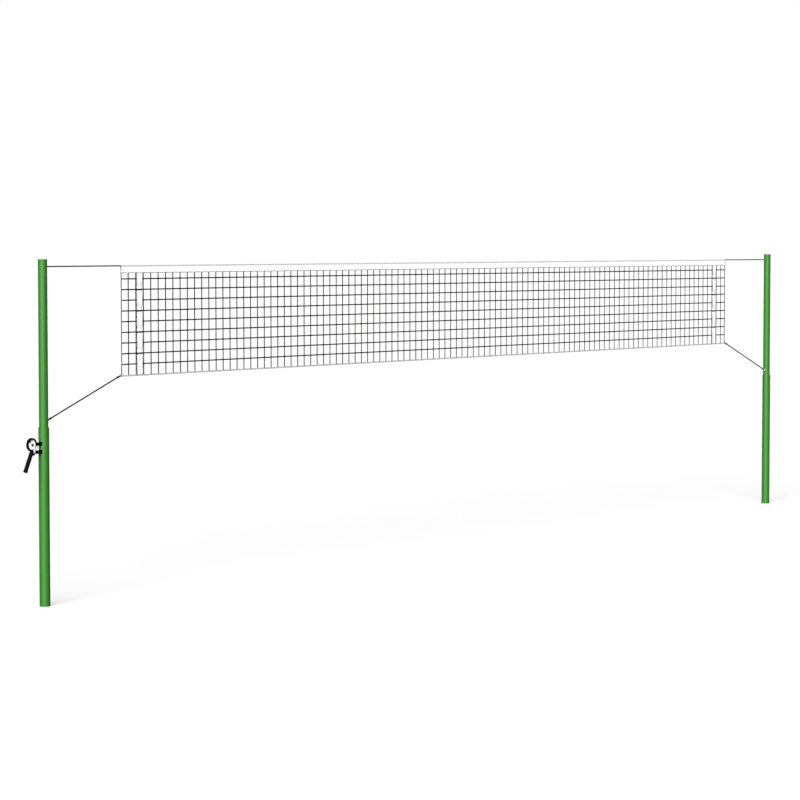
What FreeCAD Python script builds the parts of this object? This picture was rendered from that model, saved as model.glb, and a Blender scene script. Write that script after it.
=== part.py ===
import FreeCAD, Part
import math
import os

# Volleyball net on two telescopic posts.
# Frame: origin on the axis of the left post at its foot, +X towards the right
# post, +Y to the back of the net, +Z up. Millimetres.

V = FreeCAD.Vector

# ---------------------------------------------------------------- dimensions
SPAN = 11420.0            # post axis to post axis
POST_H = 2857.0           # foot to top, at the lowest setting
LOWER_H = 1477.0          # length of the lower tube
LOWER_R = 44.45           # 88.9 mm tube
UPPER_R = 38.05           # 76.1 mm tube
WALL = 3.2
LOWER_RI = LOWER_R - WALL
UPPER_RI = UPPER_R - WALL
UPPER_Z0 = 1000.0         # foot of the upper tube inside the lower one
LIFT = 190.0              # travel of the height setting
SPIGOT_L = 558.0          # length that stands in the ground sleeve
MARK_D = 0.7              # depth of the insertion mark
MARK_H = 2.0

CABLE_R = 3.0             # 6 mm sheathed cable
CABLE_Z = 2797.0          # height of the headline
SHEAVE_X = 3.0
SHEAVE_R = 25.0           # to the middle of the cable
SHEAVE_Z = CABLE_Z - SHEAVE_R
RISER_X = SHEAVE_X - SHEAVE_R

TAPE_X0, TAPE_X1 = 905.0, 10515.0    # ends of the top tape
NET_X0, NET_X1 = 908.5, 10511.5      # ends of the net
PITCH_X, PITCH_Z = 91.5, 90.5        # mesh, cord to cord
CORD, CORD_T = 11.5, 4.0             # flat braided mesh cord, width and thickness
ROW1_Z = 2686.0                      # first open row of cords under the tape
TAPE_Z0 = 2736.0                     # lower edge of the top tape
HEM_Z0, HEM_Z1 = 1860.0, 1871.5      # bottom tape
SIDE_W = 11.0                        # side hems
BAND_W, BAND_T = 70.0, 1.6           # woven side bands
N_COLS, N_ROWS = 105, 10             # meshes

EYE_Z = 1535.0            # rope eyes on the upper tubes
ROPE_R = 6.0
SLEEVE_R = 5.3            # sleeve over the bare stretches of the headline

WX, WZ = -168.0, 1346.0   # winch axle
LUG_D = 76.0              # face of the mounting lugs from the post axis
LEVER_TILT = math.radians(24.6)
TEETH = 24
CLAMP_Z = 1400.0
CLAMP_DIR = V(math.sqrt(0.5), math.sqrt(0.5), 0)

os.makedirs("parts", exist_ok=True)
X, Y, Z = V(1, 0, 0), V(0, 1, 0), V(0, 0, 1)


# ------------------------------------------------------------------- helpers
def cyl(r, h, at, axis=Z):
    return Part.makeCylinder(r, h, V(*at), axis)


def box(x0, x1, y0, y1, z0, z1):
    return Part.makeBox(x1 - x0, y1 - y0, z1 - z0, V(x0, y0, z0))


def tube(ro, ri, h, at, axis=Z):
    return cyl(ro, h, at, axis).cut(cyl(ri, h + 2, tuple(V(*at) - axis), axis))


def prism(points, y0, y1, ox=0.0, oz=0.0):
    """Closed polygon in XZ, drawn out from y0 to y1."""
    pts = [V(ox + p[0], y0, oz + p[1]) for p in points]
    face = Part.Face(Part.makePolygon(pts + [pts[0]]))
    return face.extrude(V(0, y1 - y0, 0))


def ridge_x(points, x0, x1):
    """Closed polygon in YZ, drawn out from x0 to x1."""
    pts = [V(x0, p[0], p[1]) for p in points]
    face = Part.Face(Part.makePolygon(pts + [pts[0]]))
    return face.extrude(V(x1 - x0, 0, 0))


def fuse(first, *others):
    out = first
    for o in others:
        out = out.fuse(o)
    return out.removeSplitter()


def rod(p, q, r):
    d = V(*q) - V(*p)
    return Part.makeCylinder(r, d.Length, V(*p), d)


def sweep_tube(wire, r):
    """Round tube along a wire of straight runs and tangent arcs."""
    edge = wire.OrderedEdges[0]
    start = wire.OrderedVertexes[0].Point
    p0 = edge.valueAt(edge.FirstParameter)
    if p0.distanceToPoint(start) < 1e-6:
        tan = edge.tangentAt(edge.FirstParameter)
    else:
        tan = edge.tangentAt(edge.LastParameter) * -1
    circle = Part.Wire(Part.Circle(start, tan, r).toShape())
    out = wire.makePipeShell([circle], True, False, 2)
    want = math.pi * r * r * wire.Length
    if abs(out.Volume - want) > 0.01 * want:
        raise RuntimeError("tube volume %.1f, wanted %.1f" % (out.Volume, want))
    return out


DONE = {}


def write(name, *solids):
    flat = []
    for s in solids:
        flat.extend(s.Solids)
    shape = flat[0] if len(flat) == 1 else Part.makeCompound(flat)
    if not shape.isValid():
        raise RuntimeError(name + " is not valid")
    shape.exportStep("parts/" + name + ".step")
    DONE[name] = shape
    b = shape.BoundBox
    print("%-22s %2d solid(s)  %9.1f cm3  x %9.1f..%9.1f  y %7.1f..%7.1f  z %8.1f..%8.1f" % (
        name, len(flat), shape.Volume / 1000, b.XMin, b.XMax, b.YMin, b.YMax, b.ZMin, b.ZMax))


def both(make):
    """The same piece on the left and on the right post."""
    return make(0.0), make(SPAN)


# --------------------------------------------------------------------- posts
def lower_tube(x, left):
    t = tube(LOWER_R, LOWER_RI, LOWER_H, (x, 0, 0))
    t = t.cut(tube(LOWER_R + 2, LOWER_R - MARK_D, MARK_H, (x, 0, SPIGOT_L)))
    # hole of the clamp screw
    t = t.cut(cyl(6.25, 30, tuple(V(x, 0, CLAMP_Z) + CLAMP_DIR * 30), CLAMP_DIR))
    if left:
        # window of the cable inlet
        t = t.cut(box(-60, -30, -7.5, 7.5, 1338, 1387))
    return t


def upper_tube(x, left):
    t = tube(UPPER_R, UPPER_RI, POST_H - 4 - UPPER_Z0, (x, 0, UPPER_Z0))
    if left:
        # long slot that passes the cable and its guide at every height
        slot = fuse(box(-60, -20, -9, 9, 1146, 1386),
                    cyl(9, 40, (-60, 0, 1146), X), cyl(9, 40, (-60, 0, 1386), X))
        t = t.cut(slot)
        # mouth of the headline
        mouth = fuse(box(20, 60, -5.5, 5.5, 2791, 2803),
                     cyl(5.5, 40, (20, 0, 2791), X), cyl(5.5, 40, (20, 0, 2803), X))
        t = t.cut(mouth)
        t = t.cut(cyl(5.05, 100, (SHEAVE_X, -50, SHEAVE_Z), Y))
    return t


write("lower_tube_left", lower_tube(0.0, True))
write("lower_tube_right", lower_tube(SPAN, False))
write("upper_tube_left", upper_tube(0.0, True))
write("upper_tube_right", upper_tube(SPAN, False))


def foot_plug(x):
    return cyl(LOWER_RI - 0.05, 18, (x, 0, 0)).cut(cyl(30, 14, (x, 0, 5)))


def top_cap(x):
    rim = cyl(UPPER_R, 4, (x, 0, POST_H - 4))
    rim = rim.makeFillet(1.5, [e for e in rim.Edges if abs(e.BoundBox.ZMin - POST_H) < 0.01 and e.BoundBox.ZLength < 0.01])
    return fuse(rim, tube(UPPER_RI - 0.05, 30.0, 12, (x, 0, POST_H - 16)))


write("foot_plug_left", foot_plug(0.0))
write("foot_plug_right", foot_plug(SPAN))
write("top_cap_left", top_cap(0.0))
write("top_cap_right", top_cap(SPAN))
# nylon bush flush with the top of each lower tube
write("guide_bushes", *both(lambda x: tube(LOWER_RI - 0.05, UPPER_R + 0.10, 38, (x, 0, LOWER_H - 38))))
# ring on the foot of each upper tube, running in the lower one
write("slider_rings", *both(lambda x: tube(LOWER_RI - 0.10, UPPER_R + 0.02, 38, (x, 0, UPPER_Z0))))
# welded ring on which the upper tube stands at its lowest setting
write("stop_rings", *both(lambda x: tube(LOWER_RI - 0.02, 33.0, 12, (x, 0, UPPER_Z0 - 12.1))))


# ------------------------------------------------- clamp screws of the height
def at_clamp(x, r):
    return tuple(V(x, 0, CLAMP_Z) + CLAMP_DIR * r)


def clamp_boss(x):
    b = cyl(13, 58 - 40, at_clamp(x, 40), CLAMP_DIR)
    b = b.cut(cyl(LOWER_R, 60, (x, 0, CLAMP_Z - 30)))
    return b.cut(cyl(6.08, 40, at_clamp(x, 30), CLAMP_DIR))


def clamp_knob(x):
    """Star knob of six lobes with a hub."""
    base = at_clamp(x, 66)
    k = cyl(22, 16, base, CLAMP_DIR)
    side = CLAMP_DIR.cross(Z)
    for i in range(6):
        ang = math.radians(60 * i + 30)
        off = side * (26 * math.cos(ang)) + Z * (26 * math.sin(ang))
        k = k.cut(cyl(8.5, 40, tuple(V(*base) + off - CLAMP_DIR * 5), CLAMP_DIR))
    k = k.fuse(cyl(10.5, 22, at_clamp(x, 60), CLAMP_DIR))
    return k.cut(cyl(6.02, 16, at_clamp(x, 58), CLAMP_DIR)).removeSplitter()


for side, x in (("left", 0.0), ("right", SPAN)):
    write("clamp_screw_" + side, cyl(6.0, 33.0, at_clamp(x, 40.7), CLAMP_DIR))
    write("clamp_knob_" + side, clamp_knob(x))
write("clamp_bosses", *both(clamp_boss))
write("clamp_pads", *both(lambda x: cyl(5.7, 2.0, at_clamp(x, 38.5), CLAMP_DIR)))

# -------------------------------------------- headline, sheave and their ends
groove = CABLE_R + 0.1
g0 = SHEAVE_R - CABLE_R - 0.1
sheave = cyl(28.5, 14, (SHEAVE_X, -7, SHEAVE_Z), Y)
prof = [V(SHEAVE_X + SHEAVE_R, -groove, SHEAVE_Z), V(SHEAVE_X + g0, 0, SHEAVE_Z), V(SHEAVE_X + SHEAVE_R, groove, SHEAVE_Z)]
arc = Part.Arc(prof[0], prof[1], prof[2]).toShape()
lip0 = V(SHEAVE_X + 30, -groove - 1.6, SHEAVE_Z)
lip1 = V(SHEAVE_X + 30, groove + 1.6, SHEAVE_Z)
cutter = Part.Face(Part.Wire([arc, Part.LineSegment(prof[2], lip1).toShape(),
                              Part.LineSegment(lip1, lip0).toShape(),
                              Part.LineSegment(lip0, prof[0]).toShape()]))
cutter = cutter.revolve(V(SHEAVE_X, 0, SHEAVE_Z), Y, 360)
sheave = sheave.cut(cutter).cut(cyl(5.06, 20, (SHEAVE_X, -10, SHEAVE_Z), Y))
for i in range(5):
    ang = math.radians(72 * i + 18)
    sheave = sheave.cut(cyl(4.5, 20, (SHEAVE_X + 13.5 * math.cos(ang), -10, SHEAVE_Z + 13.5 * math.sin(ang)), Y))
write("head_sheave", sheave)
axle = cyl(5.0, 80, (SHEAVE_X, -40, SHEAVE_Z), Y).common(cyl(UPPER_R, 40, (0, 0, SHEAVE_Z - 20)))
write("sheave_axle", axle)
spacer = tube(8.0, 5.06, 25.2, (SHEAVE_X, 7.4, SHEAVE_Z), Y)
spacer_b = tube(8.0, 5.06, 25.2, (SHEAVE_X, -32.6, SHEAVE_Z), Y)
write("sheave_spacers", spacer, spacer_b)

# headline: up the left side of the sheave, over it, then level to the right post
TERM_X0, TERM_X1 = 11316.0, 11355.0
arc_a = Part.Arc(V(RISER_X, 0, SHEAVE_Z),
                 V(SHEAVE_X - SHEAVE_R * math.cos(math.pi / 4), 0, SHEAVE_Z + SHEAVE_R * math.sin(math.pi / 4)),
                 V(SHEAVE_X, 0, CABLE_Z)).toShape()
run = Part.LineSegment(V(SHEAVE_X, 0, CABLE_Z), V(TERM_X0 + 24, 0, CABLE_Z)).toShape()
write("headline_cable", sweep_tube(Part.Wire([arc_a, run]), CABLE_R))
print("headline: radius %.0f at the sheave, straight run %.0f, length %.0f" % (SHEAVE_R, run.Length, arc_a.Length + run.Length))

# sleeves between the posts and the tape
sleeve_l = tube(SLEEVE_R, CABLE_R + 0.05, TAPE_X0 - 0.2 - 44.0, (44.0, 0, CABLE_Z), X)
sleeve_r = tube(SLEEVE_R, CABLE_R + 0.05, TERM_X0 - 1.0 - (TAPE_X1 + 0.2), (TAPE_X1 + 0.2, 0, CABLE_Z), X)
write("headline_sleeves", sleeve_l, sleeve_r)

# inlet bend at the winch: tangent to the drum, through the upper lug, then up
DRUM_CR = 21.0            # middle of the cable on the drum
slope = math.asin(DRUM_CR / 108.0)
start_s = 16.3
c, s = math.cos(slope), math.sin(slope)
t0 = V(WX + DRUM_CR * s, 0, WZ - DRUM_CR * c)
p_start = t0 + V(c, 0, s) * start_s
BEND_R = 20.0
bend_dx = BEND_R * (1 - s)
bend_x = RISER_X - bend_dx
p_bend = t0 + V(c, 0, s) * ((bend_x - t0.x) / c)
cx, cz = RISER_X - BEND_R, p_bend.z + BEND_R * c
RISER_Z0 = cz
mid_ang = (slope + math.pi / 2) / 2
p_mid = V(cx + BEND_R * math.sin(mid_ang), 0, cz - BEND_R * math.cos(mid_ang))
e1 = Part.LineSegment(p_start, p_bend).toShape()
e2 = Part.Arc(p_bend, p_mid, V(RISER_X, 0, cz)).toShape()
write("winch_cable", sweep_tube(Part.Wire([e1, e2]), CABLE_R))
print("winch cable: run %.1f, bend radius %.1f; riser foot at z %.2f" % (e1.Length, BEND_R, RISER_Z0))
write("cable_riser", cyl(CABLE_R, SHEAVE_Z - RISER_Z0, (RISER_X, 0, RISER_Z0)))

# guide nose: the cable turns up against its rounded underside
nose_r = BEND_R - CABLE_R - 0.1
nose = cyl(nose_r, 12, (cx, -6, cz), Y).common(box(cx - 0.0, cx + 40, -6, 6, cz - 40, cz))
nose = nose.fuse(box(cx, cx + nose_r, -6, 6, cz, 1385))
plug = box(-44.2, cx, -6, 6, 1364, 1385)
nose = nose.fuse(plug).removeSplitter()
write("cable_guide", nose)

# swaged terminal with an eye, and the welded hook that holds it
HOOK_X = 11366.0
term = cyl(4.6, TERM_X1 - TERM_X0 + 6, (TERM_X0, 0, CABLE_Z), X)
eye = cyl(8.2, 7, (HOOK_X, 0, CABLE_Z - 3.5))
term = term.fuse(eye).cut(cyl(3.9, 12, (HOOK_X, 0, CABLE_Z - 6)))
term = term.cut(cyl(CABLE_R + 0.05, 24.0, (TERM_X0, 0, CABLE_Z), X))
write("headline_terminal", term.removeSplitter())
hook_z = CABLE_Z - 9.5
hook = cyl(3.5, 19, (HOOK_X, 0, hook_z))
hook = hook.fuse(Part.makeSphere(3.5, V(HOOK_X, 0, hook_z)))
hook = hook.fuse(Part.makeSphere(3.5, V(HOOK_X, 0, hook_z + 19)))
hook = hook.fuse(cyl(3.5, 30, (HOOK_X, 0, hook_z), X))
hook = hook.cut(cyl(UPPER_R, 60, (SPAN, 0, hook_z - 30)))
hook = hook.Solids[0] if len(hook.Solids) == 1 else max(hook.Solids, key=lambda q: q.Volume)
write("headline_hook", hook)

# --------------------------------------------------------- rope eyes and ropes
EYE_R, EYE_W = 10.0, 3.0
RING_R, RING_W = 8.0, 1.8
RING_DX = NET_X0 - RING_R - RING_W - 0.2      # middle of the left corner ring
RING_Z = 1868.0


def rope_eye(x, sign):
    t = Part.makeTorus(EYE_R, EYE_W, V(x + sign * (UPPER_R + 9), 0, EYE_Z), Y)
    return t.cut(cyl(UPPER_R, 60, (x, 0, EYE_Z - 30)))


def corner_ring(x):
    return Part.makeTorus(RING_R, RING_W, V(x, 0, RING_Z), Y)


def corner_rope(x, sign, ring_x):
    a = V(x + sign * (UPPER_R + 9), 0, EYE_Z)
    b = V(ring_x, 0, RING_Z)
    d = (b - a).normalize()
    p = a + d * (EYE_R + EYE_W + 0.15)
    q = b - d * (RING_R + RING_W + 0.15)
    return rod(tuple(p), tuple(q), ROPE_R), p, q


write("rope_eye_left", rope_eye(0.0, 1))
write("rope_eye_right", rope_eye(SPAN, -1))
write("corner_rings", corner_ring(RING_DX), corner_ring(SPAN - RING_DX))
for side, x, sign, rx in (("left", 0.0, 1, RING_DX), ("right", SPAN, -1, SPAN - RING_DX)):
    r_, p_, q_ = corner_rope(x, sign, rx)
    write("corner_rope_" + side, r_)
    print("corner rope %s: straight, %.0f long, from (%.1f, %.1f) to (%.1f, %.1f)" % (side, (q_ - p_).Length, p_.x, p_.z, q_.x, q_.z))

# ----------------------------------------------------------------------- net
# flat cords: the upright ones in front, the level ones behind, tied where they cross
MX0, MX1 = NET_X0 + SIDE_W, NET_X1 - SIDE_W
mid_x = SPAN / 2
cols = [mid_x + (i - 52.5) * PITCH_X for i in range(1, N_COLS)]
rows = [ROW1_Z - PITCH_Z * j for j in range(N_ROWS - 1)]
h = CORD / 2
write("net_mesh", *([box(x - h, x + h, -CORD_T, 0, HEM_Z1, TAPE_Z0) for x in cols]
                    + [box(MX0, MX1, 0, CORD_T, z - h, z + h) for z in rows]))

# top tape: folded over the headline, with a round tunnel for it
tw = 3.4
pocket = CABLE_R + 0.25
tape = box(TAPE_X0, TAPE_X1, -tw, tw, TAPE_Z0, CABLE_Z)
tape = tape.fuse(cyl(CABLE_R + 1.8, TAPE_X1 - TAPE_X0, (TAPE_X0, 0, CABLE_Z), X))
tape = tape.cut(cyl(pocket, TAPE_X1 - TAPE_X0 + 2, (TAPE_X0 - 1, 0, CABLE_Z), X)).removeSplitter()
write("top_tape", tape)
write("bottom_tape", box(NET_X0, NET_X1, -2.4, 2.4, HEM_Z0, HEM_Z1))
write("side_hem_left", box(NET_X0, MX0, -4, 4, HEM_Z1, TAPE_Z0))
write("side_hem_right", box(MX1, NET_X1, -4, 4, HEM_Z1, TAPE_Z0))


def side_band(x_mid):
    """Strip woven in front of the odd rows and behind the even ones."""
    front_y, back_y = -1.2, CORD_T + 1.2
    way = [(front_y, TAPE_Z0)]
    for j, z in enumerate(rows):
        y = front_y if j % 2 == 0 else back_y
        way += [(y, z + 14), (y, z - 14)]
    way.append((front_y, HEM_Z1))
    front = [(y - BAND_T / 2, z) for y, z in way]
    back = [(y + BAND_T / 2, z) for y, z in reversed(way)]
    return ridge_x(front + back, x_mid - BAND_W / 2, x_mid + BAND_W / 2)


write("side_band_left", side_band(mid_x + (2.5 - 52.5) * PITCH_X))
write("side_band_right", side_band(mid_x + (102.5 - 52.5) * PITCH_X))

# --------------------------------------------------------------------- winch
# a, b: distances from the winch axle along X and Z
LUG_Y = 21.0


EAR_X = -114.5            # tip of the ears that hold the cheeks of the bracket
EAR_Y0, EAR_Y1 = 20.2, 22.2


def lug(z0, z1):
    """Block on the post, with an ear along each side and a rivet in each ear."""
    b = box(-LUG_D, -20, -LUG_Y, LUG_Y, z0, z1)
    b = b.cut(cyl(LOWER_R, 60, (0, 0, z0 - 10)))
    b = max(b.Solids, key=lambda q: q.Volume)
    z = (z0 + z1) / 2
    for s in (-1, 1):
        y0, y1 = sorted((s * EAR_Y0, s * EAR_Y1))
        b = b.fuse(box(EAR_X, -56, y0, y1, z0, z1))
        b = b.fuse(cyl(5.0, 1.8, (-63, s * EAR_Y1, z), Y * s))
    return b.removeSplitter()


lug_up = lug(1333, 1360)
cab_dir = V(c, 0, s)
lug_up = lug_up.cut(Part.makeCylinder(5.5, 90, t0 + cab_dir * 60, cab_dir))
lug_lo = lug(1267, 1295)
BOLTS = [(y, z) for y in (-10.5, 10.5) for z in (1345.0, 1279.0)]
for y, z in BOLTS:
    lug_up = lug_up.cut(cyl(3.0, 24, (-LUG_D - 1, y, z), X))
    lug_lo = lug_lo.cut(cyl(3.0, 24, (-LUG_D - 1, y, z), X))
write("winch_lugs", lug_up, lug_lo)

CH0, CH1 = 17.0, 20.0     # inner and outer face of the cheeks
PIN_H = (54.0, -44.0)     # pivot of the holding pawl
PIN_D = (24.0, -56.0)     # pivot of the drive pawl


def cheek(y0, y1):
    plate = prism([(92, 18), (92, -84), (78, -84), (-4, -14.4), (0, 0), (0, 15)], y0, y1, WX, WZ)
    return plate.fuse(cyl(15, y1 - y0, (WX, y0, WZ), Y))


bracket = box(-LUG_D - 4, -LUG_D, -CH1, CH1, 1262, 1364)
bracket = fuse(bracket, cheek(-CH1, -CH0).common(box(-400, -LUG_D, -50, 50, 1200, 1500)),
               cheek(CH0, CH1).common(box(-400, -LUG_D, -50, 50, 1200, 1500)))
bracket = bracket.cut(cyl(11.08, 3 + 2, (WX, -CH1 - 1, WZ), Y))          # drum sleeve
bracket = bracket.cut(cyl(6.05, 5, (WX, CH0 - 1, WZ), Y))                # axle
bracket = bracket.cut(cyl(4.05, 60, (WX + PIN_H[0], -30, WZ + PIN_H[1]), Y))
bracket = bracket.cut(Part.makeCylinder(6.5, 40, t0 + cab_dir * 66, cab_dir))
for y, z in BOLTS:
    bracket = bracket.cut(cyl(3.3, 8, (-LUG_D - 6, y, z), X))
write("winch_bracket", bracket.removeSplitter())


def hexagon(af, t, at, axis, ref):
    rr = af / math.sqrt(3)
    side = axis.cross(ref)
    pts = []
    for i in range(6):
        ang = math.radians(60 * i + 30)
        pts.append(V(*at) + ref * (rr * math.cos(ang)) + side * (rr * math.sin(ang)))
    return Part.Face(Part.makePolygon(pts + [pts[0]])).extrude(axis * t)


bolts = []
for y, z in BOLTS:
    head = hexagon(10.0, 4, (-LUG_D - 4, y, z), X * -1, Z)
    bolts.append(head.fuse(cyl(2.95, 22, (-LUG_D - 4, y, z), X)).removeSplitter())
write("winch_bolts", *bolts)

# axle, drum with its sleeve, wheel, nut
ax = cyl(6.0, 33.4 + 20.0, (WX, -33.4, WZ), Y).fuse(cyl(4.0, 9.8, (WX, -43.0, WZ), Y))
ax = ax.fuse(hexagon(19, 6, (WX, CH1, WZ), Y, Z)).removeSplitter()
write("winch_axle", ax)
nut = hexagon(13.0, 12.0, (WX, -34.5, WZ), Y * -1, Z)
nut = nut.fuse(cyl(5.9, 4.5, (WX, -51.0, WZ), Y)).cut(cyl(4.02, 10, (WX, -43.0, WZ), Y))
dome = Part.makeSphere(6.6, V(WX, -48.1, WZ)).common(box(WX - 12, WX + 12, -58, -51.0, WZ - 12, WZ + 12))
nut = nut.fuse(dome).removeSplitter()
write("axle_nut", nut)


def toothed(r_tip, depth, y0, y1, twist=0.0):
    pts = []
    step = 360.0 / TEETH
    for k in range(TEETH):
        for r, da in ((r_tip - depth, 0.0), (r_tip - depth * 0.45, step * 0.45), (r_tip, step * 0.86), (r_tip - depth, step * 0.98)):
            ang = math.radians(k * step + da + twist)
            pts.append((r * math.cos(ang), r * math.sin(ang)))
    return prism(pts, y0, y1, WX, WZ)


drum = toothed(42.0, 3.0, -16, -13, 4.0)
drum = drum.fuse(cyl(18.0, 26.5, (WX, -13.2, WZ), Y)).fuse(cyl(30.0, 3, (WX, 13, WZ), Y))
drum = drum.fuse(cyl(11.0, 18.2, (WX, -33.2, WZ), Y))
drum = drum.cut(cyl(6.05, 60, (WX, -36, WZ), Y))
write("winch_drum", drum.removeSplitter())
write("cable_wraps", tube(24.0, 18.05, 25.6, (WX, -12.8, WZ), Y))

wheel = toothed(42.0, 3.0, -33, -25, 0.0).cut(cyl(11.02, 12, (WX, -35, WZ), Y))
wheel = wheel.cut(tube(34.0, 15.5, 3.0, (WX, -33.01, WZ), Y))
scr = (27.0 * math.cos(math.radians(121)), 27.0 * math.sin(math.radians(121)))
wheel = wheel.cut(cyl(3.05, 12, (WX + scr[0], -36, WZ + scr[1]), Y))
write("ratchet_wheel", wheel)
sc = cyl(6.5, 4.0, (WX + scr[0], -34.01, WZ + scr[1]), Y).cut(
    hexagon(5, 2.5, (WX + scr[0], -34.02, WZ + scr[1]), Y, Z))
sc = sc.fuse(cyl(3.0, 4.9, (WX + scr[0], -30.01, WZ + scr[1]), Y)).removeSplitter()
write("wheel_screw", sc)

# lever: head plate, hoop round the wheel, grip
ut = (-math.sin(LEVER_TILT), -math.cos(LEVER_TILT))       # down the grip
GRIP0 = (-5.0, -58.0)
GRIP_L = 181.0
GRIP_Y = -38.0
head = cyl(50.5, 3, (WX, -24, WZ), Y)
arm = prism([(-13, -30), (15, -30), (36, -56), (24, -66), (12, -63), (2, -60.5), (-15, -52.5)], -24, -21, WX, WZ)
lobe = cyl(10, 3, (WX + PIN_D[0], -24, WZ + PIN_D[1]), Y)
g = lambda t, n: (GRIP0[0] + ut[0] * t - ut[1] * n, GRIP0[1] + ut[1] * t + ut[0] * n)
tang = prism([g(-5.0, -10), g(-5.0, 8), g(100, 8), g(108, 0), g(100, -10)], -39.5, -36.5, WX, WZ)
plate = fuse(head, arm, lobe)
plate = plate.cut(cyl(11.08, 5, (WX, -25, WZ), Y))
plate = plate.cut(cyl(4.0, 5, (WX + PIN_D[0], -25, WZ + PIN_D[1]), Y))
write("lever_plate", plate)

# ring with a lip over the teeth, neck and tang of one piece
hoop = tube(55.0, 44.2, 15.0, (WX, -39, WZ), Y).fuse(tube(50.0, 40.8, 3.0, (WX, -39, WZ), Y))
gap = prism([(0, 0), (70, -1), (70, -70), (14.5, -70), (14.5, -42.0)], -45, -10, WX, WZ)
neck = prism([g(0, -14.5), g(0, 14.5), (14.5, -60), (14.5, -43), (-21, -43)], -39, -24, WX, WZ)
hoop = fuse(hoop.cut(gap), neck.cut(cyl(44.2, 20, (WX, -42, WZ), Y)), tang)
write("lever_hoop", max(hoop.Solids, key=lambda q: q.Volume))


def grip():
    """Round grip, slightly barrelled, with a collar at its foot."""
    a0 = V(WX + g(0, 0)[0], GRIP_Y, WZ + g(0, 0)[1])
    d = V(ut[0], 0, ut[1])
    n = V(0, 1, 0)
    prof = [(0, 0), (14.6, 0), (17.0, 3), (17.2, 40), (17.6, 90), (17.2, 140), (17.6, 162), (18.4, 170), (18.4, 176), (16.0, GRIP_L), (0, GRIP_L)]
    pts = [a0 + n * r + d * t for r, t in prof]
    body = Part.Face(Part.makePolygon(pts + [pts[0]])).revolve(a0, d, 360)
    slot = prism([g(-3.0, -10.1), g(-3.0, 8.1), g(100.2, 8.1), g(108.4, 0), g(100.2, -10.1)], -39.55, -36.45, WX, WZ)
    return body.cut(slot)


write("lever_grip", grip())
write("drive_pawl_pin", fuse(cyl(3.95, 15.0, (WX + PIN_D[0], -35.5, WZ + PIN_D[1]), Y),
                             cyl(6.2, 2.0, (WX + PIN_D[0], -37.5, WZ + PIN_D[1]), Y)))

# drive pawl with its trigger, beside the grip
pd = [(32.2, -29.3), (43, -27), (44, -33), (32.5, -53), (30.5, -60), (30.5, -75.2), (20.5, -75.2), (19.0, -62), (17.0, -55), (22.6, -40.0)]
pawl = prism(pd, -31, -25.4, WX, WZ).cut(cyl(4.03, 20, (WX + PIN_D[0], -40, WZ + PIN_D[1]), Y))
write("drive_pawl", pawl)
tab = [(12.5, -75.3), (35.0, -75.3), (36.0, -83.0), (33.5, -91.5), (7.5, -91.5), (8.5, -84.0)]
trig = prism(tab, -34, -22.4, WX, WZ)
trig = trig.makeFillet(1.5, [e for e in trig.Edges if e.BoundBox.YLength < 0.01 and e.BoundBox.ZMax < WZ - 76])
write("pawl_trigger", trig)


def coil(px, pz, y0, r, wire, length, leg):
    """Close-wound coil round a pivot pin, with one straight leg."""
    out = tube(r + wire, r - wire, length, (px, y0, pz), Y)
    d = V(*leg)
    side = V(d.z, 0, -d.x).normalize() * r
    return out.fuse(Part.makeCylinder(0.8 * wire, d.Length, V(px, y0 + wire, pz) + side, d))


write("drive_pawl_spring", coil(WX + PIN_D[0], WZ + PIN_D[1], -35.2, 5.3, 0.9, 3.8, (9, 0, 10)))

# holding pawl on the bracket, under the toothed flange of the drum
ph = [(21.4, -37.2), (26.0, -34.2), (52, -35.5), (60.5, -39.0), (62.5, -46.0), (58.0, -52.0), (48.5, -76.0), (41.5, -74.0), (46.5, -52.0), (24.5, -42.5)]
hold = prism(ph, -16.5, -12.9, WX, WZ).cut(cyl(4.05, 20, (WX + PIN_H[0], -20, WZ + PIN_H[1]), Y))
write("holding_pawl", hold)
write("holding_pawl_pin", fuse(cyl(4.0, 2 * CH1 + 1, (WX + PIN_H[0], -CH1 - 0.5, WZ + PIN_H[1]), Y),
                               cyl(6.5, 0.7, (WX + PIN_H[0], -CH1 - 0.7, WZ + PIN_H[1]), Y),
                               cyl(6.5, 1.8, (WX + PIN_H[0], CH1, WZ + PIN_H[1]), Y)))
write("holding_pawl_spring", coil(WX + PIN_H[0], WZ + PIN_H[1], -12.3, 5.4, 1.0, 8.0, (12, 0, -14)))

print("%d nodes" % len(DONE))
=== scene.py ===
import math

import bpy
import numpy as np
from mathutils import Matrix, Vector


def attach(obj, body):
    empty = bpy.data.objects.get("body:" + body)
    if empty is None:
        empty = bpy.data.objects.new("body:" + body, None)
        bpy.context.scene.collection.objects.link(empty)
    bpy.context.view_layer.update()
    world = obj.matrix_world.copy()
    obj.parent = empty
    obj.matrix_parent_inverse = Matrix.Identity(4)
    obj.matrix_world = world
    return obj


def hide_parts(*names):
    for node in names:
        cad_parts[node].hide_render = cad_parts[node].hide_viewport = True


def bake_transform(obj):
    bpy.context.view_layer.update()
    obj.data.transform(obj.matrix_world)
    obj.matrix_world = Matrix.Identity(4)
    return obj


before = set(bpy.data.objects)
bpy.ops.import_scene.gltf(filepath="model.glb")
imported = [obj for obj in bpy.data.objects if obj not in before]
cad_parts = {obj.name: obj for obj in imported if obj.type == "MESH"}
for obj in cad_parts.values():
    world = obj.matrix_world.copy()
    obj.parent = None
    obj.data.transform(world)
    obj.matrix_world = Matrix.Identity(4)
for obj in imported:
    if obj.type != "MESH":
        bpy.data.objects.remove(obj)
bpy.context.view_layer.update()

rng = np.random.default_rng(11)
MM = 0.001

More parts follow.
